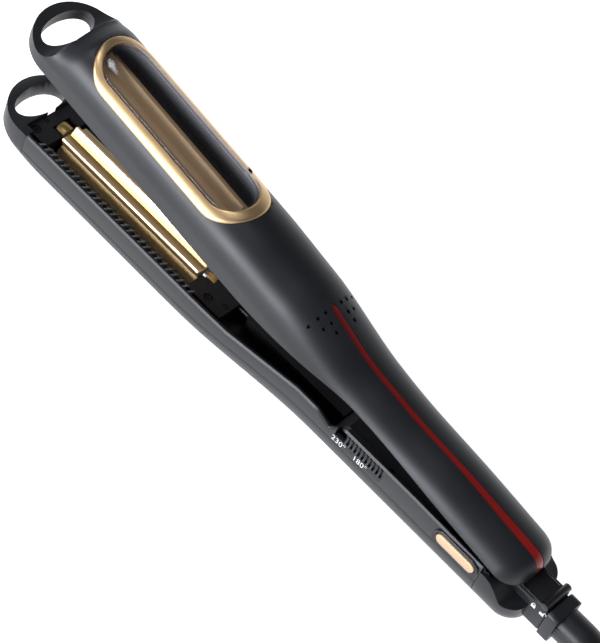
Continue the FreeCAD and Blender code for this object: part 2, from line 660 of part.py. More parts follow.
frontUpper = upperBlock(25.0, 31.8, 25.7, 31.9)
frontUpper = frontUpper.cut(rod((24, 0, upperAxisZ), (26, 0, upperAxisZ), heaterR + runFit))
shapes["upper_front_block"] = frontUpper.common(upperHull(wall + 0.1, 24, 200))
rearUpper = upperBlock(119.0, 125.9, 118.9, 125.0)
shapes["upper_rear_block"] = rearUpper.cut(rod((124, 0, upperAxisZ), (130, 0, upperAxisZ), axleR + 0.5))

ledBoard = box(206, 292, -4.0, 4.0, 34.0, 35.0)
shapes["led_board"] = ledBoard
leds = []
for i in range(8):
    x = 211 + i * 11
    leds.append(box(x - 1.2, x + 1.2, -1.0, 1.0, 35.0, 35.7))
shapes["led_chips"] = Part.makeCompound(leds)
ribs = [box(x, x + 1.6, -6.5, 6.5, under(x + 1) + 1.7, 34.0) for x in (214.0, 272.0)]
shapes["led_board_posts"] = Part.makeCompound(ribs)

loopBlock = box(-2, tipSeamX, -30, 30, 10, loopFace)
loopParts = [shapes[name].common(loopBlock) for name in ("upper_top_shell", "upper_inner_frame")]
for name in ("upper_top_shell", "upper_inner_frame"):
    shapes[name] = shapes[name].cut(loopBlock)
shapes["upper_tip_loop"] = loopParts[0].fuse(loopParts[1]).removeSplitter()

upperNodes = ["upper_tip_loop", "upper_top_shell", "upper_inner_frame", "window_bezel", "window_lens", "light_strip", "led_board",
              "led_chips", "led_board_posts", "upper_front_block", "upper_rear_block", "upper_bushes",
              "upper_heater_rod", "upper_hinge_lugs", "upper_roller", "upper_roller_axle"]

# ---- boot, cord, hank and plug


def bootPoint(s):
    """Centre and direction at the boot's stages: 0 collar, 1 bend starts, 2 bend ends, 3 cord leaves."""
    x1 = tailEnd + bootStraight
    a = radians(bootBend)
    x2, z2 = x1 + bootBendR * sin(a), tailZ - bootBendR * (1 - cos(a))
    x3, z3 = x2 + bootCone * cos(a), z2 - bootCone * sin(a)
    return [(tailEnd, tailZ), (x1, tailZ), (x2, z2), (x3, z3)][s]


(bx0, bz0), (bx1, bz1), (bx2, bz2), (bx3, bz3) = [bootPoint(i) for i in range(4)]
straight = rod((bx0, 0, bz0), (bx1, 0, bz1), bootR)
disc = Part.Face(Part.Wire(Part.makeCircle(bootR, V(bx1, 0, bz1), V(1, 0, 0))))
bend = disc.revolve(V(bx1, 0, bz1 - bootBendR), V(0, 1, 0), bootBend)
down = V(bx3 - bx2, 0, bz3 - bz2)
cone = Part.makeCone(bootR, cordR + 1.0, down.Length, V(bx2, 0, bz2), down)
boot = straight.fuse([bend, cone]).removeSplitter()
shapes["cord_boot"] = boot

drop = radians(bootBend)
firstRun = 10.0
cordZ = cordR + 0.1
hankZ = cordR + hankLift
foldOuter = hankFoldR + 2 * cordR * (hankWide - 1)
cordRoute = [
    (bx3, 0.0, bz3),
    (bx3 + firstRun * cos(drop), 0.0, bz3 - firstRun * sin(drop)),
    (374.0, -2.2, cordZ),
    (391.0, -10.3, cordZ),
    (hankFrom + 1.5, hankY - foldOuter, hankZ),
]


def cordTube(points, r, label):
    """Straight runs joined by tangent arcs; prints each radius, and the volume against section times length."""
    pts = [V(*p) for p in points]
    edges = []
    start = pts[0]
    length = 0.0
    for a, b, c in zip(pts, pts[1:], pts[2:]):
        u, w = (a - b).normalize(), (c - b).normalize()
        turn = pi - u.getAngle(w)
        reach = 0.45 * min((a - b).Length, (c - b).Length)
        radius = reach / tan(turn / 2)
        s, e = b + u * reach, b + w * reach
        middle = b + (u + w).normalize() * (radius / cos(turn / 2) - radius)
        edges += [Part.makeLine(start, s), Part.Arc(s, middle, e).toShape()]
        length += (s - start).Length + radius * turn
        print(label, "radius", round(radius, 1), "turn", round(degrees(turn), 1))
        start = e
    edges.append(Part.makeLine(start, pts[-1]))
    length += (pts[-1] - start).Length
    path = Part.Wire(edges)
    ring = Part.Wire(Part.makeCircle(r, pts[0], pts[1] - pts[0]))
    solid = path.makePipeShell([ring], True, False)
    print(label, "length", round(length, 1), "volume ratio", round(solid.Volume / (pi * r * r * length), 4))
    return solid




def hankOutline(r, z0, z1):
    """A closed block with round ends, as wide as two folds of radius r."""
    ends = [rod((x, hankY, z0), (x, hankY, z1), r) for x in (hankFrom, hankFrom + hankRun)]
    return box(hankFrom, hankFrom + hankRun, hankY - r, hankY + r, z0, z1).fuse(ends).removeSplitter()


hankTop = hankLift + 2 * cordR * hankLayers
hank = hankOutline(foldOuter + cordR, hankLift, hankTop).cut(hankOutline(hankFoldR - cordR, -1, 40))
shapes["cord_hank"] = hank
shapes["power_cord"] = cordTube(cordRoute, cordR, "power_cord").cut(hank)

# a strap around the far run
tieX = hankFrom + 44.0
y0, y1 = hankY + hankFoldR - cordR, hankY + foldOuter + cordR
strap = box(tieX, tieX + tieWide, y0 - tieThick, y1 + tieThick, 0.05, hankTop + tieThick)
shapes["cord_tie"] = strap.cut(box(tieX - 1, tieX + tieWide + 1, y0, y1, hankLift, hankTop))

# the plug lies inside the hank, on the cord's far end
hankTo = hankFrom + hankRun
plugX = hankTo - 54.0
plugY = hankY + 3.2
plugZ = 7.0
reliefLong = 10.0
bodyLong = 20.0
bladeLong = 16.0
tailRoute = [
    (hankTo + 6.0, hankY + hankFoldR, hankZ),
    (hankTo - 9.0, hankY + 17.6, hankZ),
    (hankTo - 26.0, hankY + 9.5, hankZ),
    (hankTo - 42.0, hankY + 4.0, 5.0),
    (plugX, plugY, plugZ),
]
tail = cordTube(tailRoute, cordR, "cord_tail").cut(hank)
shapes["cord_tail"] = tail.fuse(rod((plugX, plugY, plugZ), (plugX - 3, plugY, plugZ), cordR)).removeSplitter()
relief = Part.makeCone(cordR + 0.7, 5.2, reliefLong, V(plugX, plugY, plugZ), V(-1, 0, 0))
relief = relief.cut(rod((plugX + 1, plugY, plugZ), (plugX - 3, plugY, plugZ), cordR))
bodyX = plugX - reliefLong + 0.2
plugBody = box(bodyX - bodyLong, bodyX, plugY - 11.5, plugY + 11.5, 0.5, 13.5)
edgesToRound = [e for e in plugBody.Edges if abs(e.tangentAt(e.FirstParameter).y) < 0.5]
plugBody = plugBody.makeFillet(3.0, edgesToRound)
shapes["mains_plug"] = plugBody.fuse(relief).removeSplitter()
blades = []
for s in (-1, 1):
    x1, y = bodyX - bodyLong, plugY + s * 6.35
    blades.append(box(x1 - bladeLong, x1, y - 0.75, y + 0.75, plugZ - 3.15, plugZ + 3.15))
shapes["plug_pins"] = Part.makeCompound(blades)


def place(name, shape):
    """Opens the upper arm about the hinge, and moves the origin to mid-length."""
    shape = shape.copy()
    if name in upperNodes:
        shape.rotate(V(hingeX, 0, hingeZ), V(0, 1, 0), openAngle)
    shape.translate(V(-originX, 0, 0))
    return shape


for name, shape in shapes.items():
    placed = place(name, shape)
    solids = placed.Solids
    volume = sum(s.Volume for s in solids)
    print(f"{name:24s} solids {len(solids):2d} valid {placed.isValid()} volume {volume:9.1f}")
    out = Part.makeCompound(solids) if len(solids) > 1 else solids[0]
    out.exportStep(f"parts/{name}.step")
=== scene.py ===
from math import asin, cos, pi, radians, sin, sqrt

import bmesh
import bpy
from mathutils import Matrix, Vector


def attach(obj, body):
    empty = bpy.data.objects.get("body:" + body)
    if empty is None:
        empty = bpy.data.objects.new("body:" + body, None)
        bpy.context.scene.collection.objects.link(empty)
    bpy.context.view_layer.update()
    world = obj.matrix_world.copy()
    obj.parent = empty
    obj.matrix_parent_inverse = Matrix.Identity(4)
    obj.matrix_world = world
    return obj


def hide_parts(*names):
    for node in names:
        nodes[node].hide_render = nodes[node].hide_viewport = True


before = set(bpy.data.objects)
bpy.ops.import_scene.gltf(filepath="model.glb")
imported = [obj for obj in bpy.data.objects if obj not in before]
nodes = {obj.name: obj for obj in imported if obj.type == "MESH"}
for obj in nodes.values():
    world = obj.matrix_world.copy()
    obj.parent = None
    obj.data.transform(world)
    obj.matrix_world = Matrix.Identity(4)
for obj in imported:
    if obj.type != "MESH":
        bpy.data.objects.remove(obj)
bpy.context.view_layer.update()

# Shapes are made in millimetres, x from the tip to the cord, the upper arm closed.
# put() opens the upper arm and takes them to metres in the frame.
hinge = {"x": 285.6, "z": 20.2, "open": 8.8, "origin": 161.25}


# ---- camera, light and floor

camera = {
    "eye": (0.27995, -0.5518, 0.8174),  # looks down from the switch's side
    "right": (0.687, 0.685, 0.243),
    "forward": (-0.277, 0.555, -0.784),
    "lens": 149.15,
}
studio = {
    "horizon": 0.75,  # radiance of the walls, which the shell's sides and the window reflect
    "zenith": 0.1,
    "lamps": {
        "sideLight": {"at": (-0.42, -1.35, 0.55), "to": (-0.03, 0, 0.04), "size": (1.0, 0.5), "power": 24},
        "topLight": {"at": (-0.5, -0.25, 1.3), "to": (0, 0, 0), "size": (0.3, 0.3), "power": 2.5},
    },
    "floorColor": (0.9, 0.9, 0.91),
    "floorGlow": 0.8,
    "skyTint": (0.93, 0.95, 1, 1),
    "lampTint": (0.9, 0.93, 1),
}


def aim(eye, to):
    return (Vector(to) - Vector(eye)).to_track_quat("-Z", "Y").to_matrix().to_4x4()


def makeCamera():
    data = bpy.data.cameras.new("camera")
    data.sensor_fit = "HORIZONTAL"
    data.sensor_width = 36
    data.lens = camera["lens"]
    data.clip_start = 0.05
    data.clip_end = 20
    cam = bpy.data.objects.new("camera", data)
    back = -Vector(camera["forward"]).normalized()
    right = Vector(camera["right"])
    right = (right - back * right.dot(back)).normalized()
    turn = Matrix((right, back.cross(right), back)).transposed()
    cam.matrix_world = Matrix.Translation(camera["eye"]) @ turn.to_4x4()
    bpy.context.scene.collection.objects.link(cam)
    bpy.context.scene.camera = cam


def makeLights():
    bpy.context.scene.view_settings.view_transform = "Standard"
    world = bpy.data.worlds.new("studio")
    bpy.context.scene.world = world
    world.use_nodes = True
    tree = world.node_tree
    where = tree.nodes.new("ShaderNodeTexCoord")
    split = tree.nodes.new("ShaderNodeSeparateXYZ")
    fade = tree.nodes.new("ShaderNodeMapRange")
    fade.interpolation_type = "SMOOTHSTEP"
    heights = (0.2, 0.75)  # where the walls start to darken, and where the ceiling begins
    for slot, value in enumerate((*heights, studio["horizon"], studio["zenith"]), 1):
        fade.inputs[slot].default_value = value
    tree.links.new(where.outputs["Generated"], split.inputs[0])
    tree.links.new(split.outputs["Z"], fade.inputs[0])
    sky = tree.nodes["Background"]
    sky.inputs["Color"].default_value = studio["skyTint"]
    tree.links.new(fade.outputs[0], sky.inputs["Strength"])
    for name, facts in studio["lamps"].items():
        data = bpy.data.lights.new(name, "AREA")
        data.shape = "RECTANGLE"
        data.size, data.size_y = facts["size"]
        data.energy = facts["power"]
        data.color = studio["lampTint"]
        lamp = bpy.data.objects.new(name, data)
        lamp.matrix_world = Matrix.Translation(facts["at"]) @ aim(facts["at"], facts["to"])
        bpy.context.scene.collection.objects.link(lamp)


# ---- finishes

class Flow:
    # one output of a node, which can be added, subtracted and multiplied
    def __init__(self, finish, out):
        self.finish, self.out = finish, out

    def math(self, name, *others):
        return self.finish.flow("ShaderNodeMath", {"operation": name}, dict(enumerate((self, *others))))

    def back(self, name, first):
        return self.finish.flow("ShaderNodeMath", {"operation": name}, {0: first, 1: self})

    def __add__(self, other):
        return self.math("ADD", other)

    def __sub__(self, other):
        return self.math("SUBTRACT", other)

    def __mul__(self, other):
        return self.math("MULTIPLY", other)

    def __rsub__(self, other):
        return self.back("SUBTRACT", other)

    __radd__ = __add__
    __rmul__ = __mul__


class Finish:
    def __init__(self, name, color, roughness, **fixed):
        self.material = bpy.data.materials.new(name)
        self.material.use_nodes = True
        self.tree = self.material.node_tree
        self.shader = self.tree.nodes["Principled BSDF"]
        self.set("Base Color", color)
        self.set("Roughness", roughness)
        for key, value in fixed.items():
            self.set(key, value)

    def set(self, socket, value):
        self.feed(self.shader.inputs[socket.replace("_", " ")], value)

    def feed(self, socket, value):
        if isinstance(value, Flow):
            self.tree.links.new(value.out, socket)
        elif isinstance(value, tuple) and len(value) == 3 and socket.type == "RGBA":
            socket.default_value = (*value, 1)
        else:
            socket.default_value = value

    def add(self, kind, settings=None, inputs=None):
        made = self.tree.nodes.new(kind)
        for key, value in (settings or {}).items():
            setattr(made, key, value)
        for key, value in (inputs or {}).items():
            self.feed(made.inputs[key], value)
        return made

    def flow(self, kind, settings=None, inputs=None, out=0):
        return Flow(self, self.add(kind, settings, inputs).outputs[out])

    def place(self, scale=(1, 1, 1)):
        at = self.flow("ShaderNodeTexCoord", out="Object")
        return self.flow("ShaderNodeMapping", None, {"Vector": at, "Scale": scale})

    def noise(self, scale, detail=2.0, stretch=(1, 1, 1)):
        inputs = {"Vector": self.place(stretch), "Scale": scale, "Detail": detail}
        return self.flow("ShaderNodeTexNoise", None, inputs)

    def ramp(self, value, low, high):
        return self.flow("ShaderNodeMapRange", None, {0: value, 1: low, 2: high})

    def mix(self, amount, a, b):
        # 0, 6 and 7 are the factor and the two colour inputs, and 2 is the colour output
        return self.flow("ShaderNodeMix", {"data_type": "RGBA"}, {0: amount, 6: a, 7: b}, 2)

    def bump(self, height, strength, depth):
        inputs = {"Height": height, "Strength": strength, "Distance": depth}
        self.set("Normal", self.flow("ShaderNodeBump", None, inputs))


def moulded(name, dark, light, roughness, grain, strength, **fixed):
    # moulded plastic: cloudy tone, fine spark-eroded grain and slightly uneven gloss
    f = Finish(name, dark, roughness, **fixed)
    cloud = f.noise(38, 3)
    fine = f.noise(grain, 2)
    f.set("Base Color", f.mix(f.ramp(cloud, 0.35, 0.7), dark, light))
    f.set("Roughness", cloud * 0.1 + fine * 0.05 + (roughness - 0.075))
    f.bump(fine, strength, 0.00006)
    return f


def metal(name, color, shade, roughness, stretch, **fixed):
    # drawn or turned metal: streaks that follow the stretch
    f = Finish(name, color, roughness, Metallic=1.0, **fixed)
    streak = f.noise(900, 4, stretch)
    cloud = f.noise(55, 3)
    f.set("Base Color", f.mix(streak * 0.5 + cloud * 0.35, color, shade))
    f.set("Roughness", streak * 0.12 + cloud * 0.08 + (roughness - 0.1))
    f.bump(streak, 0.05, 0.00003)
    return f


def fluted(name, crest, valley, roughness, metallic):
    # plated roller: painted shade darkens the grooves by their depth, so the crests stay lighter
    f = Finish(name, crest, roughness, Metallic=metallic)
    grooveShadeDepth = f.flow("ShaderNodeAttribute", {"attribute_name": "grooveShadeDepth"}, None, 2)
    streak = f.noise(700, 3, (0.02, 1, 1))
    cloud = f.noise(60, 3)
    # painted shade: the grooves get the darker valley colour by their depth, standing in for the shade that
    # falls in them
    f.set("Base Color", f.mix(f.ramp(grooveShadeDepth + streak * 0.25, 0.25, 1.1), crest, valley))
    f.set("Roughness", grooveShadeDepth * 0.1 + streak * 0.08 + cloud * 0.05 + (roughness - 0.07))
    f.bump(streak, 0.06, 0.00003)
    return f


softBlack = moulded("softBlack", (0.0085, 0.0088, 0.011), (0.013, 0.0135, 0.017), 0.4, 2400, 0.08)
innerBlack = moulded("innerBlack", (0.004, 0.004, 0.005), (0.008, 0.008, 0.009), 0.42, 1800, 0.12)
switchBlack = moulded("switchBlack", (0.007, 0.007, 0.009), (0.012, 0.012, 0.014), 0.34, 2200, 0.08)
cordRubber = moulded("cordRubber", (0.008, 0.008, 0.01), (0.014, 0.014, 0.017), 0.38, 1500, 0.15)
combGray = moulded("combGray", (0.13, 0.135, 0.15), (0.19, 0.195, 0.21), 0.35, 2200, 0.08)
# each roller's second colour is painted shade for its grooves
goldRoller = fluted("goldRoller", (0.78, 0.6, 0.36), (0.5, 0.34, 0.15), 0.36, 0.85)
bronzeRoller = fluted("bronzeRoller", (0.95, 0.7, 0.42), (0.82, 0.58, 0.32), 0.45, 0.1)
champagne = metal("champagne", (0.8, 0.56, 0.3), (0.7, 0.47, 0.24), 0.36, (1, 1, 1))
champagneCap = metal("champagneCap", (0.74, 0.55, 0.38), (0.68, 0.49, 0.33), 0.55, (1, 1, 1))
steel = metal("steel", (0.5, 0.5, 0.52), (0.36, 0.36, 0.38), 0.3, (0.05, 1, 1))
darkSteel = metal("darkSteel", (0.06, 0.06, 0.065), (0.04, 0.04, 0.045), 0.35, (1, 1, 1))
brass = metal("brass", (0.6, 0.42, 0.18), (0.5, 0.34, 0.14), 0.34, (1, 1, 1))
boardGreen = moulded("boardGreen", (0.01, 0.09, 0.03), (0.015, 0.12, 0.045), 0.35, 900, 0.1)
chipCream = moulded("chipCream", (0.55, 0.52, 0.42), (0.65, 0.62, 0.5), 0.4, 900, 0.1)
leadRed = moulded("leadRed", (0.4, 0.03, 0.02), (0.5, 0.05, 0.03), 0.5, 900, 0.15)
printWhite = moulded("printWhite", (0.75, 0.75, 0.75), (0.86, 0.86, 0.86), 0.55, 1800, 0.1)


def makeLensFinish():
    # clear window: what is below shows through, and the dome mirrors the room
    f = Finish("clearLens", (0.8, 0.82, 0.86), 0.05)
    smear = f.noise(30, 3)
    dull = f.ramp(smear, 0.2, 0.9) * 0.05 + 0.03
    gloss = f.add("ShaderNodeBsdfGlossy", None, {"Color": (0.86, 0.88, 0.95), "Roughness": dull})
    clear = f.add("ShaderNodeBsdfTransparent", None, {"Color": (0.93, 0.92, 0.92)})
    facing = f.flow("ShaderNodeLayerWeight", None, {"Blend": 0.5}, 1)
    edge = facing * facing * facing * 0.75 + 0.03
    both = f.add("ShaderNodeMixShader")
    f.feed(both.inputs[0], edge)
    f.tree.links.new(clear.outputs[0], both.inputs[1])
    f.tree.links.new(gloss.outputs[0], both.inputs[2])
    f.tree.links.new(both.outputs[0], f.tree.nodes["Material Output"].inputs["Surface"])
    return f


def makeStripFinish():
    f = Finish("redStrip", (0.2, 0.004, 0.004), 0.22, Coat_Weight=0.4, Coat_Roughness=0.12)
    along = f.flow("ShaderNodeSeparateXYZ", None, {0: f.flow("ShaderNodeTexCoord", out="Object")}, 0)
    cells = f.noise(160, 2, (1, 0.4, 0.4))
    glow = f.ramp(along, 0.02, 0.14)
    f.set("Base Color", f.mix(glow * 0.7 + cells * 0.3, (0.12, 0.002, 0.002), (0.24, 0.005, 0.004)))
    f.set("Emission Color", f.mix(glow, (0.16, 0.002, 0.002), (0.42, 0.01, 0.008)))
    f.set("Emission Strength", 0.1)
    f.set("Roughness", cells * 0.2 + 0.12)
    return f


clearLens = makeLensFinish()
redStrip = makeStripFinish()


# ---- shared shape tools

def smooth(x, x0, x1, a, b):
    s = min(max((x - x0) / (x1 - x0), 0), 1)
    return a + (b - a) * s * s * (3 - 2 * s)


def through(x, points):
    for (x0, a), (x1, b) in zip(points, points[1:]):
        if x <= x1:
            return smooth(x, x0, x1, a, b)
    return points[-1][1]


def line(x, points):
    for (x0, a), (x1, b) in zip(points, points[1:]):
        if x <= x1:
            return a + (b - a) * max(x - x0, 0) / (x1 - x0)
    return points[-1][1]


def spread(x0, x1, step):
    count = max(int(round((x1 - x0) / step)), 1)
    return [x0 + (x1 - x0) * i / count for i in range(count + 1)]


def skin(rows, caps=True, loop=False):
    # the first row is laid, and every next one is extruded from it and moved into place
    bm = bmesh.new()
    row = [bm.verts.new(p) for p in rows[0]]
    edges = [bm.edges.new(pair) for pair in zip(row, row[1:] + row[:1])]
    first = edges
    for points in rows[1:]:
        made = bmesh.ops.extrude_edge_only(bm, edges=edges)["geom"]
        fresh = {g for g in made if isinstance(g, bmesh.types.BMVert)}
        row = [next(e.other_vert(v) for e in v.link_edges if e.other_vert(v) in fresh) for v in row]
        edges = [bm.edges.get(pair) for pair in zip(row, row[1:] + row[:1])]
        for v, p in zip(row, points):
            v.co = p
    if caps:
        bmesh.ops.contextual_create(bm, geom=first)
        bmesh.ops.contextual_create(bm, geom=edges)
    if loop:
        bmesh.ops.bridge_loops(bm, edges=first + edges)
    bmesh.ops.remove_doubles(bm, verts=bm.verts, dist=0.0005)
    bmesh.ops.recalc_face_normals(bm, faces=bm.faces)
    return bm


def toObject(name, bm):
    mesh = bpy.data.meshes.new(name)
    bm.to_mesh(mesh)
    bm.free()
    made = bpy.data.objects.new(name, mesh)
    bpy.context.scene.collection.objects.link(made)
    return made


def join(bm, other):
    # the second shape is copied into the first
    held = bpy.data.meshes.new("held")
    other.to_mesh(held)
    other.free()
    bm.from_mesh(held)
    bpy.data.meshes.remove(held)


def bake(piece):
    # the modifiers' result becomes the piece's own mesh
    bpy.context.view_layer.update()
    shown = piece.evaluated_get(bpy.context.evaluated_depsgraph_get())
    fresh = bpy.data.meshes.new_from_object(shown)
    piece.modifiers.clear()
    piece.data = fresh


def carve(piece, cutters, mode="DIFFERENCE"):
    for cutter in cutters:
        cut = piece.modifiers.new("cut", "BOOLEAN")
        cut.operation, cut.solver, cut.object = mode, "EXACT", cutter
    bake(piece)
    for cutter in cutters:
        bpy.data.objects.remove(cutter)


def soften(piece, width, angle=38, segments=2):
    edge = piece.modifiers.new("edge", "BEVEL")
    edge.width, edge.segments, edge.limit_method = width, segments, "ANGLE"
    edge.angle_limit = radians(angle)
    edge.use_clamp_overlap = True
    bake(piece)


def put(piece, body, finish, replaced=(), opened=False, sharp=32):
    mesh = piece.data
    if opened:
        pivot = Matrix.Translation((hinge["x"], 0, hinge["z"]))
        mesh.transform(pivot @ Matrix.Rotation(radians(hinge["open"]), 4, "Y") @ pivot.inverted())
    mesh.transform(Matrix.Scale(0.001, 4) @ Matrix.Translation((-hinge["origin"], 0, 0)))
    for face in mesh.polygons:
        face.use_smooth = True
    mesh.set_sharp_from_angle(angle=radians(sharp))
    mesh.materials.clear()
    mesh.materials.append(finish.material)
    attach(piece, body)
    if replaced:
        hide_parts(*replaced)
    return piece


def block(x0, x1, y0, y1, z0, z1):
    bm = bmesh.new()
    bmesh.ops.create_cube(bm, size=1)
    bmesh.ops.scale(bm, verts=bm.verts, vec=(x1 - x0, y1 - y0, z1 - z0))
    bmesh.ops.translate(bm, verts=bm.verts, vec=((x0 + x1) / 2, (y0 + y1) / 2, (z0 + z1) / 2))
    return bm


def rod(p, q, r, segments=32):
    a, b = Vector(p), Vector(q)
    bm = bmesh.new()
    bmesh.ops.create_cone(bm, cap_ends=True, segments=segments, radius1=r, radius2=r, depth=(b - a).length)
    turn = Vector((0, 0, 1)).rotation_difference(b - a).to_matrix()
    bmesh.ops.rotate(bm, verts=bm.verts, cent=(0, 0, 0), matrix=turn)
    bmesh.ops.translate(bm, verts=bm.verts, vec=(a + b) / 2)
    return bm


def stadium(x0, x1, h, inset=0, count=20):
    # plan outline with round ends, from the far side of the rear end
    r = max(h - inset, 0.001)
    rear = [(x1 - h + r * sin(pi * i / count), r * cos(pi * i / count)) for i in range(count + 1)]
    front = [(x0 + h - r * sin(pi * i / count), -r * cos(pi * i / count)) for i in range(count + 1)]
    bits = max(int((x1 - x0 - 2 * h) / 2.5), 1)
    span = x1 - x0 - 2 * h
    near = [(x1 - h - span * i / bits, -r) for i in range(1, bits)]
    far = [(x0 + h + span * i / bits, r) for i in range(1, bits)]
    return rear + near + front + far


def oval(x, a, b, z0, z1, count=56, grow=0):
    rows = []
    for z, more in ((z0, grow), (z1, 0)):
        turn = [2 * pi * i / count for i in range(count)]
        rows.append([(x + (a + more) * cos(t), (b + more) * sin(t), z) for t in turn])
    return skin(rows)


# ---- outlines of the two arms

arms = {
    "headHalf": 19.3, "handleHalf": 16.9, "neck": (122, 200),
    "split": (142, 208, 22.4, 29.4), "seam": (112, 192, 13.0, 18.8), "lift": (120, 196, 0, 4.5),
    "holeX": 12.3, "holeA": 7.2, "holeB": 13.3, "band": (150, 210, 4.1, 1.3),
}


def lowerHalf(x):
    return smooth(x, *arms["neck"], arms["headHalf"], arms["handleHalf"])


def splitZ(x):
    return smooth(x, *arms["split"])


def seamZ(x):
    return smooth(x, *arms["seam"])


def floorZ(x):
    return smooth(x, *arms["lift"])


upper = {
    "half": [(0, 19.4), (118, 19.4), (160, 19.1), (226, 16.9), (275, 17.3), (310, 17.3)],
    "middle": [(0, 29.9), (130, 29.9), (215, 24.0), (310, 24.0)],
    "top": [(0, 36.0), (22.5, 42.6), (32, 46.9), (130, 46.9), (158, 45.9), (205, 37.9), (222, 37.6),
            (262, 39.3), (310, 39.3)],
    "end": 301.6, "planR": 11.0, "sideR": 6.8, "tipR": 19.4, "wall": 2.0,
    "face": 29.4, "scoopR": 10.5, "ridge": 22.8,  # the loop's flat face, and the scoop up to the crown
    "seam": 0.12,  # how far the inner frame is set back, so that the joint shows
}


def rearShrink(x, r):
    over = x - (upper["end"] - r)
    return 0 if over <= 0 else r - sqrt(max(r * r - over * over, 0))


def tipShrink(x, r):
    return 0 if x >= r else r - sqrt(max(r * r - (r - x) ** 2, 0))


def upperShape(x, inset=0):
    w = through(x, upper["half"]) - tipShrink(x, upper["tipR"]) - rearShrink(x, upper["planR"]) - inset
    zc = through(x, upper["middle"])
    zt = through(x, upper["top"]) - rearShrink(x, upper["sideR"]) - inset
    return max(w, 0.02), zc, zt


def upperTop(x, y):
    w, zc, zt = upperShape(x)
    return zc + (zt - zc) * sqrt(max(1 - (y / w) ** 2, 0))


def upperRow(x, base, inset=0, count=60):
    w, zc, zt = upperShape(x, inset)
    tall = max(zt - zc, 0.5)
    start = asin(min(max((base - zc) / tall, -0.999), 0.999))
    row = []
    for i in range(count + 1):
        t = start + (pi - 2 * start) * i / count
        across = 1 if t < 0 else -1 if t > pi else cos(t)
        row.append((x, w * across, zc + tall * sin(t)))
    return row


def upperStations(x0, x1):
    tip = [upper["tipR"] * (1 - cos(pi / 2 * i / 14)) for i in range(15)]
    rear = [upper["end"] - upper["planR"] * (1 - sin(pi / 2 * i / 14)) for i in range(15)]
    body = spread(upper["tipR"], upper["end"] - upper["planR"], 3.0)
    every = sorted(set(tip + body + rear))
    return [x0] + [x for x in every if x0 + 0.05 < x < x1 - 0.05] + [x1]


def upperSolid(base, inset=0, x0=0.0, x1=None):
    xs = upperStations(x0, x1 or upper["end"])
    return skin([upperRow(x, base(x), inset) for x in xs])


def bandZ(x):
    # height of the joint between the top shell and the inner frame
    return splitZ(x) + smooth(x, *arms["band"])


def underZ(x):
    return splitZ(x) + 0.5


def tipCutters():
    # the scoop over the loop, and the hole
    face, r, ridge = upper["face"], upper["scoopR"], upper["ridge"]
    steps = [(ridge - r + r * sin(t), face + r - r * cos(t)) for t in [pi / 2 * i / 16 for i in range(17)]]
    profile = [(-3, face)] + steps + [(ridge + 0.4, 70), (-3, 70)]
    rows = [[(x, y, z) for x, z in profile] for y in (-30, 30)]
    scoop = skin(rows)
    hole = oval(arms["holeX"], arms["holeA"], arms["holeB"], 10, 60)
    return [toObject("scoop", scoop), toObject("hole", hole)]


def pathNormals(path):
    found = []
    for i in range(len(path)):
        ax, az = path[max(i - 1, 0)]
        bx, bz = path[min(i + 1, len(path) - 1)]
        dx, dz = bx - ax, bz - az
        size = sqrt(dx * dx + dz * dz)
        found.append((-dz / size, dx / size))
    return found


strip = {"from": 170.4, "half": (1.4, 2.0), "sunk": 0.35, "deep": 1.5}


def stripPath(step=2.5):
    r, x1 = upper["sideR"], upper["end"]
    path = [(x, upperTop(x, 0)) for x in spread(strip["from"], x1 - r, step)]
    zc = through(x1, upper["top"]) - r
    path += [(x1 - r + r * sin(pi / 2 * i / 12), zc + r * cos(pi / 2 * i / 12)) for i in range(1, 13)]
    return path + [(x1, zc - 0.7)]


def stripHalf(i, path):
    x = path[i][0]
    wide = smooth(x, 240, 296, *strip["half"])
    return wide * sqrt(min((x - strip["from"] + 0.05) / 2.0, 1))


def stripSolid(more, low, high, crowned=False):
    path = stripPath()
    rows = []
    for i, ((x, z), (nx, nz)) in enumerate(zip(path, pathNormals(path))):
        h = stripHalf(i, path) + more
        ring = [(h, low), (h, high), (h * 0.5, high + 0.12 * crowned), (0, high + 0.16 * crowned),
                (-h * 0.5, high + 0.12 * crowned), (-h, high), (-h, low)]
        rows.append([(x + nx * d, y, z + nz * d) for y, d in ring])
    return skin(rows)


vents = [(172.0, (4.4, 8.2, 12.4)), (176.5, (4.8, 8.7)), (180.5, (5.2,))]
bezel = {"from": 31.2, "to": 126.1, "half": 16.05, "lensFrom": 34.6, "lensTo": 120.6, "lensHalf": 12.1}


def makeTopShell():
    piece = toObject("topShell", upperSolid(bandZ))
    hollow = upperSolid(lambda x: bandZ(x) - 3, upper["wall"], 24.5, upper["end"] - upper["wall"])
    outline = stadium(bezel["from"], bezel["to"], bezel["half"], 0.1)
    window = skin([[(x, y, z) for x, y in outline] for z in (25, 70)])
    cutters = tipCutters() + [toObject("hollow", hollow), toObject("window", window)]
    cutters.append(toObject("slot", stripSolid(0.12, -strip["deep"], 4)))
    for x, spots in vents:
        for y in spots:
            for s in (-1, 1):
                cutters.append(toObject("vent", rod((x, s * y, 30), (x, s * y, 60), 0.72, 16)))
    carve(piece, cutters)
    soften(piece, 0.3)
    return put(piece, "upper_arm", softBlack, ["upper_top_shell", "upper_tip_loop"], True)


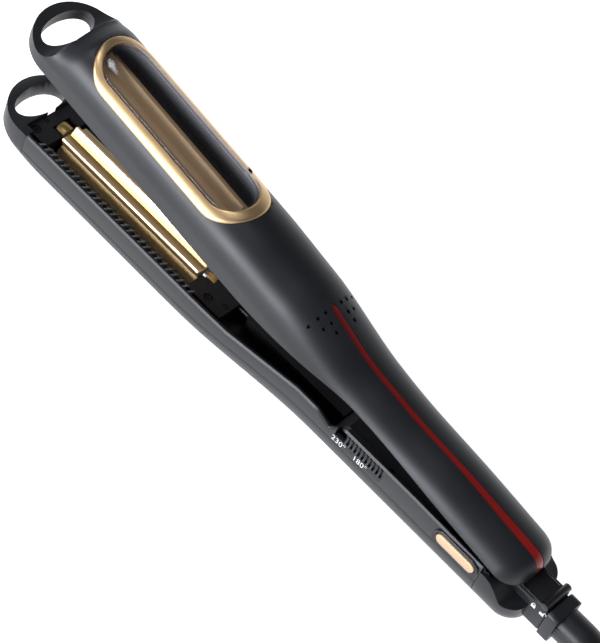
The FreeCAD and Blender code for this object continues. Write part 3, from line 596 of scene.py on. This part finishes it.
def makeInnerFrame():
    # the thin band below the top shell
    def row(x):
        w, zc, zt = upperShape(x)
        def across(z):
            return w * sqrt(max(1 - max((z - zc) / (zt - zc), 0) ** 2, 0)) - upper["seam"]
        low, high, rim = underZ(x), bandZ(x) - upper["seam"], 0.45
        half = [(across(high), high), (across(low + rim), low + rim), (max(across(low) - rim, 0.01), low)]
        return [(x, y, z) for y, z in half] + [(x, -y, z) for y, z in reversed(half)]
    piece = toObject("innerFrame", skin([row(x) for x in upperStations(0.03, upper["end"] - 0.1)]))
    bay = block(24.9, 126, -10.6, 10.6, 10, 60)
    hole = oval(arms["holeX"], arms["holeA"], arms["holeB"], 10, 60)
    rows = []
    for x in spread(26, 296, 6):
        w, low = through(x, upper["half"]) - 3.4, underZ(x) + 1.6
        rows.append([(x, w, low), (x, w, 60), (x, -w, 60), (x, -w, low)])
    pan = skin(rows)
    carve(piece, [toObject("bay", bay), toObject("hole", hole), toObject("pan", pan)])
    return put(piece, "upper_arm", softBlack, ["upper_inner_frame"], True)


def drape(outline, stages):
    # rings of a plan outline laid over the crown; each stage is an inset and a lift
    rows = []
    for inset, lift in stages:
        rows.append([(x, y, upperTop(x, y) + lift) for x, y in outline(inset)])
    return rows


def makeBezel():
    def outline(inset):
        # the inner edge is closer to the front end than to the rear one
        share = inset / 4.0
        x0 = bezel["from"] + share * (bezel["lensFrom"] - bezel["from"])
        x1 = bezel["to"] + share * (bezel["lensTo"] - bezel["to"])
        return stadium(x0, x1, bezel["half"] - inset)
    stages = [(0.12, -1.6), (0.12, 0.05), (0.45, 0.38), (1.0, 0.45), (3.1, 0.45), (3.6, 0.32),
              (3.95, -0.15), (3.95, -1.9)]
    piece = toObject("windowFrame", skin(drape(outline, stages), False, True))
    return put(piece, "upper_arm", champagne, ["window_bezel"], True, 40)


def makeLens():
    x0, x1, h = bezel["lensFrom"] + 0.1, bezel["lensTo"] - 0.1, bezel["lensHalf"] - 0.1

    def bulge(d):
        return 0.15 + 1.15 * (1 - (1 - d / h) ** 2.4) ** 0.6

    insets = [0, 0.15, 0.4, 0.8, 1.3, 2, 3, 4, 5.2, 6.5, 8, 9.5, 11, h - 0.02]
    outside = [(d, bulge(d) - (0.3 if d == 0 else 0)) for d in insets]
    inside = [(d, bulge(max(d - 0.6, 0)) - 1.4) for d in reversed(insets)]
    rows = drape(lambda d: stadium(x0, x1, h, d), outside + inside)
    piece = toObject("windowLens", skin(rows, False, True))
    return put(piece, "upper_arm", clearLens, ["window_lens"], True, 50)


def makeStrip():
    piece = toObject("lightStrip", stripSolid(0.0, -strip["deep"] + 0.05, -strip["sunk"], True))
    return put(piece, "upper_arm", redStrip, ["light_strip"], True, 50)


# ---- lower arm

lower = {"foot": 7.0, "lean": 0.7, "wall": 2.0, "tip": 24.0, "sideEnd": 288.0, "end": 308.6, "endR": 9.0,
         "screws": (219.5, 266.0), "rimStops": [146, 165, 184, 196, 204, 207.5, 211], "rim": 0.8}


def tipLift(x):
    # the underside sweeps up at the tip
    return 17 * max(1 - x / 34, 0) ** 1.7


def lowerRow(x, inset, top, count=14):
    # from the far rim down around the underside to the near rim
    w = max(lowerHalf(x) - tipShrink(x, arms["headHalf"]) - inset, 0.03)
    z0 = floorZ(x) + inset + tipLift(x)
    zs = seamZ(x)
    foot = min(lower["foot"], max(w - 8, w * 0.4))
    lean = lower["lean"] * min(w / 10, 1)
    side = [(w - lean * (top - zs) / 12, top), (w, zs)]
    curve = []
    for i in range(1, count + 1):
        t = i / count
        across = (1 - t) ** 2 + 2 * t * (1 - t) * 0.98
        down = 1 - (1 - t) ** 2 - 2 * t * (1 - t) * 0.22
        curve.append((foot + (w - foot) * across, zs - (zs - z0) * down))
    right = side + curve
    left = [(-y, z) for y, z in reversed(right)]
    return [(x, y, z) for y, z in right + left]


def lowerStations(x0, x1):
    tip = [arms["headHalf"] * (1 - cos(pi / 2 * i / 14)) for i in range(15)]
    every = sorted(set(tip + spread(arms["headHalf"], lower["end"], 3.0)))
    return [x0] + [x for x in every if x0 + 0.05 < x < x1 - 0.05] + [x1]


def sideTopZ(x):
    # the rim swells behind the trough, dips, and steps up to the handle
    return line(x, [(20, 22.0), (146, 22.0), (165, 24.2), (184, 26.6), (196, 26.2), (204, 22.9),
                    (211, 29.3), (250, 29.3), (288, 28.4)])


def makeBackShell():
    rows = []
    for x in lowerStations(lower["tip"] + 0.1, lower["sideEnd"]):
        outer = lowerRow(x, 0, seamZ(x) + 0.01)[1:-1]
        inner = lowerRow(x, lower["wall"], seamZ(x) + 0.01)[1:-1]
        rows.append(outer + [(a, b, c) for a, b, c in reversed(inner)])
    piece = toObject("backShell", skin(rows))
    cutters = []
    for x in lower["screws"]:
        cutters.append(toObject("well", rod((x, 0, 0), (x, 0, floorZ(x) + 1.2), 2.6)))
        cutters.append(toObject("hole", rod((x, 0, 0), (x, 0, floorZ(x) + 3), 1.3)))
    carve(piece, cutters)
    soften(piece, 0.25, 40)
    return put(piece, "lower_arm", softBlack, ["lower_back_shell"])


switch = {"x": (207.6, 233.6), "z": (22.9, 28.2), "travel": 5.0, "gap": 0.3, "ribs": 10}
button = {"x": (263.6, 288.0), "z": (19.3, 28.1)}


def sideStadium(x0, x1, z0, z1, count=16):
    r = (z1 - z0) / 2
    zc = (z0 + z1) / 2
    rear = [(x1 - r + r * sin(pi * i / count), zc + r * cos(pi * i / count)) for i in range(count + 1)]
    front = [(x0 + r - r * sin(pi * i / count), zc - r * cos(pi * i / count)) for i in range(count + 1)]
    return rear + front


def sideRing(x, s):
    # section of one side wall, with its bevelled rim
    w, zs, top = lowerHalf(x), seamZ(x) + 0.15, sideTopZ(x)
    lean, rim, inside = lower["lean"] * (top - zs) / 12, lower["rim"], w - lower["wall"]
    ring = [(w, zs), (w - lean, top - rim), (w - lean - rim * 0.9, top), (inside - 0.1, top),
            (inside - 0.35, top - 0.3), (inside - 0.2, zs)]
    return [(x, s * y, z) for y, z in ring]


def makeSideFrame():
    stops = sorted(set(lowerStations(lower["tip"] + 0.1, lower["sideEnd"]) + lower["rimStops"]))
    near, far = [toObject("sideFrame", skin([sideRing(x, s) for x in stops])) for s in (-1, 1)]
    x0, x1 = button["x"][0] + 0.1, button["x"][1] - 0.6
    outline = sideStadium(x0, x1, button["z"][0] + 0.1, button["z"][1] - 0.1)
    ringHole = toObject("ringHole", skin([[(x, y, z) for x, z in outline] for y in (-20, -10)]))
    carve(near, [toObject("slot", block(*switch["x"], -20, -12, *switch["z"])), ringHole])
    bm = bmesh.new()
    for piece in (near, far):
        soften(piece, 0.18, 50)
        bm.from_mesh(piece.data)
    bpy.data.objects.remove(far)
    bm.to_mesh(near.data)
    bm.free()
    return put(near, "lower_arm", softBlack, ["lower_side_frame"])


def makeTipLoop():
    xs = lowerStations(0.0, lower["tip"])
    rows = [lowerRow(x, 0, 21.9) for x in xs]
    piece = toObject("tipLoop", skin(rows))
    cutters = [
        toObject("hole", oval(arms["holeX"], arms["holeA"], arms["holeB"], 15.4, 40)),
        toObject("flare", oval(arms["holeX"], arms["holeA"], arms["holeB"], -4, 15.5, grow=6)),
        toObject("bay", block(19.4, 30, -14.4, 14.4, 4, 40)),
    ]
    carve(piece, cutters)
    soften(piece, 0.45, 40, 3)
    return put(piece, "lower_arm", softBlack, ["lower_tip_loop"])


def rearRow(x):
    roof = smooth(x, *tail["slope"], tail["top"], tail["low"])
    row = lowerRow(x, 0, max(roof, seamZ(x) + 0.3))
    over = x - (lower["end"] - lower["endR"])
    cutBack = 0 if over <= 0 else lower["endR"] - sqrt(max(lower["endR"] ** 2 - over ** 2, 0))
    w = lowerHalf(x)
    return [(a, b * (w - cutBack) / w, c + cutBack * 0.35 * (1 if c < 12 else 0)) for a, b, c in row]


tail = {
    "neckHalf": 6.8, "neckBottom": 10.3, "neckTop": 23.6, "spineFrom": 294.0,
    "top": 25.4, "low": 16.5, "slope": (291, 307),  # the housing's roof falls to the neck's root
    "collarFrom": 317.0, "end": 322.5, "collarHalf": 8.1, "collarTall": 8, "axis": 17.4, "cordHole": 3.4,
}


def softBlock(x0, x1, half, z0, z1, edge):
    bm = block(x0, x1, -half, half, z0, z1)
    bmesh.ops.bevel(bm, geom=bm.edges[:], offset=edge, segments=3, profile=0.5, affect="EDGES", material=-1,
                    clamp_overlap=True)
    return bm


def makeRearHousing():
    stops = spread(lower["sideEnd"] + 0.15, lower["end"] - lower["endR"], 3)
    stops += [lower["end"] - lower["endR"] * (1 - sin(pi / 2 * i / 10)) for i in range(1, 11)]
    piece = toObject("rearHousing", skin([rearRow(x) for x in stops]))
    neck = softBlock(tail["spineFrom"], tail["collarFrom"] + 0.02, tail["neckHalf"], tail["neckBottom"],
                     tail["neckTop"], 1.0)
    carve(piece, [toObject("neck", neck)], "UNION")
    cutters = [
        toObject("bay", block(284, 293.5, -14, 14, 8.5, 21.5)),  # open towards the handle
        toObject("lugs", block(287, 292, -14, 14, 12, 30)),  # room for the hinge lugs
        toObject("channel", block(290, 320, -7.1, 7.1, tail["neckTop"], 30)),  # for the lock's plate
        toObject("ridgeWay", block(306.4, 316.9, -7.8, 7.8, 23.9, 30)),  # for its cross bar
    ]
    carve(piece, cutters)
    soften(piece, 0.3, 40)
    return put(piece, "lower_arm", softBlack, ["rear_housing"])


def makeCollar():
    half, tall, axis = tail["collarHalf"], tail["collarTall"], tail["axis"]
    bm = block(tail["collarFrom"], tail["end"], -half, half, axis - tall, axis + tall)
    along = [e for e in bm.edges if abs((e.verts[0].co - e.verts[1].co).x) > 1]
    bmesh.ops.bevel(bm, geom=along, offset=2.5, segments=5, profile=0.5, affect="EDGES", material=-1)
    around = [e for e in bm.edges if abs((e.verts[0].co - e.verts[1].co).x) < 0.1]
    bmesh.ops.bevel(bm, geom=around, offset=0.5, segments=2, profile=0.5, affect="EDGES", material=-1)
    piece = toObject("collar", bm)
    carve(piece, [toObject("bore", rod((310, 0, axis), (330, 0, axis), tail["cordHole"]))])
    return put(piece, "lower_arm", softBlack, ["tail_collar"])


lock = {"x": (296.2, 316.3), "half": 6.7, "z": (23.75, 25.05), "barX": 314.4, "barR": 1.75, "barHalf": 7.4}


def makeLock():
    # a plate with a raised rim, and a cross bar for the thumb
    piece = toObject("lockSlider", softBlock(*lock["x"], lock["half"], *lock["z"], 0.3))
    x = lock["barX"]
    bar = toObject("bar", rod((x, -lock["barHalf"], 26.0), (x, lock["barHalf"], 26.0), lock["barR"], 24))
    base = toObject("base", softBlock(x - 1.9, x + 1.9, 6.2, 24.2, 26.0, 0.4))
    rim = toObject("rim", softBlock(296.4, 313.5, lock["half"], 24.6, 25.5, 0.2))
    inside = toObject("inside", softBlock(297.2, 312.0, 5.9, lock["z"][1], 27, 0.2))
    carve(piece, [rim], "UNION")
    carve(piece, [inside])
    carve(piece, [base, bar], "UNION")
    carve(piece, [toObject("notch", block(295, 300, -3, 3, 20, 30))])
    soften(piece, 0.2, 50)
    return put(piece, "lock_slider", switchBlack, ["lock_slider"])


# ---- rollers

roller = {
    "from": 33.0, "to": 117.5, "crest": 8.5, "valley": 5.5, "flutes": 6, "bore": 3.2,
    "lower": (15.4, 78.0), "upper": (29.8, 72.0),  # height of the axis, and the angle of the first crest
    # across one tooth: (share of the pitch, share of the depth)
    "tooth": [(-0.5, 1), (-0.46, 0.96), (-0.07, 0.06), (-0.045, 0.0),
              (0.045, 0.0), (0.07, 0.06), (0.46, 0.96)],
}


def rollerRow(x, z, angle, trim):
    ring = []
    step = 360 / roller["flutes"]
    for i in range(roller["flutes"]):
        for share, deep in roller["tooth"]:
            r = roller["crest"] - trim - (roller["crest"] - roller["valley"]) * deep
            a = radians(angle + (i + share) * step)
            ring.append((x, r * cos(a), z + r * sin(a)))
    return ring


def makeRoller(name, which, body, finish, replaced, opened):
    z, angle = roller[which]
    stops = [(roller["from"], 0.5), (roller["from"] + 0.5, 0)]  # (x, how much the end is chamfered)
    stops += [(x, 0) for x in spread(roller["from"] + 6, roller["to"] - 6, 6)]
    stops += [(roller["to"] - 0.5, 0), (roller["to"], 0.5)]
    piece = toObject(name, skin([rollerRow(x, z, angle, trim) for x, trim in stops]))
    carve(piece, [toObject("bore", rod((0, 0, z), (200, 0, z), roller["bore"], 48))])
    # depth into the flutes at each point; the finish uses it to lay painted shade in the grooves
    grooveShadeDepth = piece.data.attributes.new("grooveShadeDepth", "FLOAT", "POINT")
    for i, v in enumerate(piece.data.vertices):
        r = sqrt(v.co.y ** 2 + (v.co.z - z) ** 2)
        grooveShadeDepth.data[i].value = min(max((roller["crest"] - r) / (roller["crest"] - roller["valley"]), 0), 1)
    return put(piece, body, finish, replaced, opened, 12)


# ---- combs

comb = {
    "count": 28, "from": 29.5, "pitch": 3.4, "wide": 0.9, "rake": 0.28, "rail": (12.2, 13.1),
    "fin": [(16.9, 18.6), (16.9, 20.9), (16.3, 21.1), (12.6, 19.7), (12.2, 19.2), (12.2, 17.0)],
}


def makeCombs():
    bm = bmesh.new()
    for s in (-1, 1):
        for i in range(comb["count"]):
            x = comb["from"] + i * comb["pitch"]
            join(bm, skin([[(x + dx + (17 - y) * comb["rake"], s * y, z) for y, z in comb["fin"]]
                           for dx in (0, comb["wide"])]))
        y0, y1 = sorted((s * comb["rail"][0], s * comb["rail"][1]))
        join(bm, block(27.5, 126.5, y0, y1, 12.5, 18.6))
    piece = toObject("combs", bm)
    return put(piece, "lower_arm", combGray, ["lower_combs"])


# ---- switch, button and marks

def makeSwitch():
    x1 = switch["x"][1] - switch["gap"]
    length = switch["x"][1] - switch["x"][0] - switch["travel"] - 2 * switch["gap"]
    x0 = x1 - length
    z0, z1 = switch["z"][0] + switch["gap"], switch["z"][1] - switch["gap"]
    piece = toObject("temperatureSlider", block(x0, x1, -15.6, -13.1, z0, z1))
    added = [toObject("flange", block(x0 - 1.2, x1 + 1.2, -14.3, -13.1, z0 - 1, z1 + 0.8))]
    pitch = length / switch["ribs"]
    for i in range(switch["ribs"]):
        x = x0 + (i + 0.12) * pitch
        low = [(x, -17.0), (x + 0.9, -17.0), (x + 1.1, -15.0), (x - 0.1, -15.0)]
        high = [(a + 0.45, b + 0.3 if b < -16 else b) for a, b in low]
        rows = [[(a, b, z0 + 0.05) for a, b in low], [(a, b, z1 - 0.05) for a, b in high]]
        added.append(toObject("rib", skin(rows)))
    carve(piece, added, "UNION")
    soften(piece, 0.12, 40)
    return put(piece, "temperature_slider", switchBlack, ["temperature_slider"])


def makeButton():
    x0, x1 = button["x"][0] + 0.15, button["x"][1] - 0.65
    z0, z1 = button["z"][0] + 0.15, button["z"][1] - 0.15
    # (inset, y) around the ring's section
    stages = [(0, -14.9), (0, -16.9), (0.3, -17.2), (0.9, -17.2), (1.25, -16.9), (1.25, -14.9)]
    rows = [[(x, y, z) for x, z in sideStadium(x0 + d, x1 - d, z0 + d, z1 - d)] for d, y in stages]
    ring = toObject("buttonRing", skin(rows, False, True))
    put(ring, "lower_arm", switchBlack, ["button_ring"])
    # (inset, y) of the cap: a flange held behind the ring, then the rounded face
    stages = [(0.8, -13.9), (0.8, -14.4), (1.6, -14.5), (1.6, -17.3), (1.75, -17.55), (2.05, -17.7)]
    rows = [[(x, y, z) for x, z in sideStadium(x0 + d, x1 - d, z0 + d, z1 - d)] for d, y in stages]
    cap = toObject("startButton", skin(rows))
    return put(cap, "push_button", champagneCap, ["push_button"])


marks = {"size": 3.9, "texts": [("230°", 206.9, 19.5), ("180°", 219.0, 19.5)]}


def wallY(x, z):
    return -(lowerHalf(x) - lower["lean"] * (z - seamZ(x)) / 12)


def makeMarks():
    for words, x, z in marks["texts"]:
        data = bpy.data.curves.new("words", "FONT")
        data.body = words
        data.size = marks["size"]
        data.extrude = 0.03
        data.offset = -0.02
        data.space_character = 1.05
        held = bpy.data.objects.new("words", data)
        bpy.context.scene.collection.objects.link(held)
        bpy.context.view_layer.update()
        mesh = bpy.data.meshes.new_from_object(held.evaluated_get(bpy.context.evaluated_depsgraph_get()))
        bpy.data.objects.remove(held)
        mesh.transform(Matrix.Rotation(pi / 2, 4, "X"))
        mesh.transform(Matrix.Translation((x, 0, z)))
        for v in mesh.vertices:
            v.co.y += wallY(v.co.x, v.co.z) - 0.03
        piece = bpy.data.objects.new("mark" + words[:3], mesh)
        bpy.context.scene.collection.objects.link(piece)
        put(piece, "lower_arm", printWhite)


padlock = {"spots": [(310.3, 21.2, False), (314.8, 21.2, True)], "size": 2.9 / 3.2, "y": (-6.87, -6.79)}


def padlockBow(x, z, k):
    # the outer arc, then the inner one back
    count, outer, inner = 10, 0.85 * k, 0.5 * k

    def arc(r):
        turns = [pi * j / count for j in range(count + 1)]
        return [(x + r * cos(t), z + 0.5 * k + r * sin(t)) for t in turns]

    outline = [(x + outer, z)] + arc(outer) + [(x - outer, z)]
    outline += [(x - inner, z)] + arc(inner)[::-1] + [(x + inner, z)]
    return skin([[(a, y, b) for a, b in outline] for y in padlock["y"]])


def makePadlocks():
    k = padlock["size"]
    for x, z, free in padlock["spots"]:
        bm = block(x - 1.15 * k, x + 1.15 * k, *padlock["y"], z - 1.6 * k, z + 0.1 * k)
        join(bm, padlockBow(x + (1.5 * k if free else 0), z + 0.1 * k, k))
        piece = toObject("padlock" + ("Open" if free else "Closed"), bm)
        put(piece, "lower_arm", printWhite)


# ---- cord

cord = {
    "radius": 3.1,
    "start": [(351.285, 0, 10.261), (360.42, 0, 6.194), (374.0, -2.2, 3.2), (391.0, -10.3, 3.2)],
    "end": [(492.0, 26.2, 3.9), (475.0, 18.1, 3.9), (459.0, 12.6, 5.0), (447.0, 11.8, 7.0)],
    "hank": {"from": 408.0, "run": 93.0, "fold": 18.6, "y": 8.6, "z": 3.9, "turns": 5.485},
    "tie": {"x": 452.0, "wide": 5.0, "thick": 0.4},
}


def straightShare():
    # the part of a turn that one straight run takes
    hank = cord["hank"]
    return hank["run"] / (2 * hank["run"] + 2 * pi * (hank["fold"] + cord["radius"]))


def hankSpot(share, r):
    # a place on one turn: the near run, the rear fold, the far run, the front fold
    hank, straight = cord["hank"], straightShare()
    x0, x1, y = hank["from"], hank["from"] + hank["run"], hank["y"]
    share %= 1
    part, far = share % 0.5, share >= 0.5
    if part < straight:
        along = hank["run"] * part / straight
        return (x1 - along, y + r) if far else (x0 + along, y - r)
    turn = pi * (part - straight) / (0.5 - straight)
    return (x0 - r * sin(turn), y + r * cos(turn)) if far else (x1 + r * sin(turn), y - r * cos(turn))


def hankTurns():
    # three turns up the outside, then back down the inside
    hank, d, straight = cord["hank"], 2 * cord["radius"], straightShare()
    shares = [straight * i / 3 for i in range(3)] + [straight + (0.5 - straight) * i / 9 for i in range(9)]
    shares += [share + 0.5 for share in shares]
    points = []
    for at in [turn + share for turn in range(6) for share in shares]:
        if at <= hank["turns"]:
            r = hank["fold"] + d * smooth(at, 2.6, 2.75, 1, 0)
            up = smooth(at, 0.76, 0.9, 0, 1) + smooth(at, 1.76, 1.9, 0, 1)
            down = smooth(at, 3.45, 3.6, 0, 1) + smooth(at, 4.45, 4.6, 0, 1)
            points.append((*hankSpot(at, r), hank["z"] + d * (up - down)))
    return points


def cordPoints():
    return cord["start"] + hankTurns() + cord["end"]


def makeTie():
    hank, tie, r = cord["hank"], cord["tie"], cord["radius"]
    y0, y1 = hank["y"] + hank["fold"] - r, hank["y"] + hank["fold"] + 3 * r
    z0, z1 = hank["z"] - r, hank["z"] + 5 * r

    def around(x, more):
        k = r * 0.8 + more
        right, left, high, low = y1 - k + more, y0 + k - more, z1 - k + more, z0 + k - more
        corners = ((right, high, 0), (left, high, 1), (left, low, 2), (right, low, 3))
        row = []
        for y, z, quarter in corners:
            for i in range(6):
                t = pi / 2 * (quarter + i / 5)
                row.append((x, y + k * cos(t), z + k * sin(t)))
        return row

    x0, x1, thick = tie["x"], tie["x"] + tie["wide"], tie["thick"]
    stages = [(x0, 0), (x0, thick * 0.6), (x0 + 0.3, thick), (x1 - 0.3, thick), (x1, thick * 0.6), (x1, 0)]
    piece = toObject("cordTie", skin([around(x, more) for x, more in stages], False, True))
    return put(piece, "lower_arm", cordRubber, ["cord_tie"])


def makeCord():
    data = bpy.data.curves.new("powerCord", "CURVE")
    data.dimensions = "3D"
    route = data.splines.new("NURBS")
    points = cordPoints()
    route.points.add(len(points) - 1)
    for slot, (x, y, z) in zip(route.points, points):
        slot.co = ((x - hinge["origin"]) / 1000, y / 1000, z / 1000, 1)
    route.order_u = 3
    route.use_endpoint_u = True
    route.resolution_u = 4
    data.bevel_depth = cord["radius"] / 1000
    data.bevel_resolution = 5
    data.use_fill_caps = True
    data.materials.append(cordRubber.material)
    piece = bpy.data.objects.new("powerCord", data)
    bpy.context.scene.collection.objects.link(piece)
    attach(piece, "lower_arm")
    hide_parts("power_cord", "cord_hank", "cord_tail")
    return piece


cadFinish = [
    (innerBlack, ["front_bearing_block", "rear_bearing_block", "lower_inner_deck", "drive_shaft_cover",
                  "rear_deck", "upper_front_block", "upper_rear_block", "led_board_posts", "motor_saddles",
                  "slide_switch", "button_switch"]),
    (steel, ["lower_roller_axle", "upper_roller_axle", "output_shaft", "hinge_pin", "hinge_bracket",
             "upper_hinge_lugs", "hinge_spring", "motor", "motor_gearbox", "thermal_fuse",
             "lower_heater_rod", "upper_heater_rod"]),
    (darkSteel, ["block_screws", "shell_screws", "drive_shaft", "shaft_coupling"]),
    (brass, ["lower_bushes", "upper_bushes", "plug_pins"]),
    (boardGreen, ["control_board", "led_board"]),
    (chipCream, ["board_parts", "led_chips"]),
    (cordRubber, ["cord_boot", "mains_plug"]),
    (leadRed, ["heater_leads"]),
]


def finishCad():
    for finish, names in cadFinish:
        for name in names:
            node = nodes[name]
            node.data.materials.clear()
            node.data.materials.append(finish.material)
            weld = node.modifiers.new("weld", "WELD")
            weld.merge_threshold = 0.000002
            if name != "cord_boot":
                edge = node.modifiers.new("edge", "BEVEL")
                edge.width, edge.segments, edge.limit_method = 0.00015, 2, "ANGLE"
                edge.angle_limit = radians(40)


def makeFloor():
    bm = bmesh.new()
    bmesh.ops.create_grid(bm, x_segments=1, y_segments=1, size=3)
    floor = toObject("floor", bm)
    f = Finish("paleFloor", studio["floorColor"], 0.7)
    f.set("Roughness", f.noise(6, 3) * 0.1 + 0.62)
    f.set("Emission Color", (1.0, 1.0, 1.0))
    f.set("Emission Strength", studio["floorGlow"])
    floor.data.materials.append(f.material)
    floor.location.z = -0.0002


makeCamera()
makeLights()
makeFloor()
print("camera, light and floor")
powerCord = makeCord()
cordTie = makeTie()
print("cord")
finishCad()
print("carried-over parts")
makeTopShell()
makeInnerFrame()
makeBezel()
makeLens()
makeStrip()
print("upper arm")
makeBackShell()
makeSideFrame()
makeTipLoop()
makeRearHousing()
makeCollar()
makeLock()
print("lower arm")
makeRoller("lowerRoller", "lower", "driven_roller", goldRoller, ["lower_roller"], False)
makeRoller("upperRoller", "upper", "free_roller", bronzeRoller, ["upper_roller"], True)
makeCombs()
print("rollers and combs")
makeSwitch()
makeButton()
makeMarks()
makePadlocks()
print("switch, button and marks")
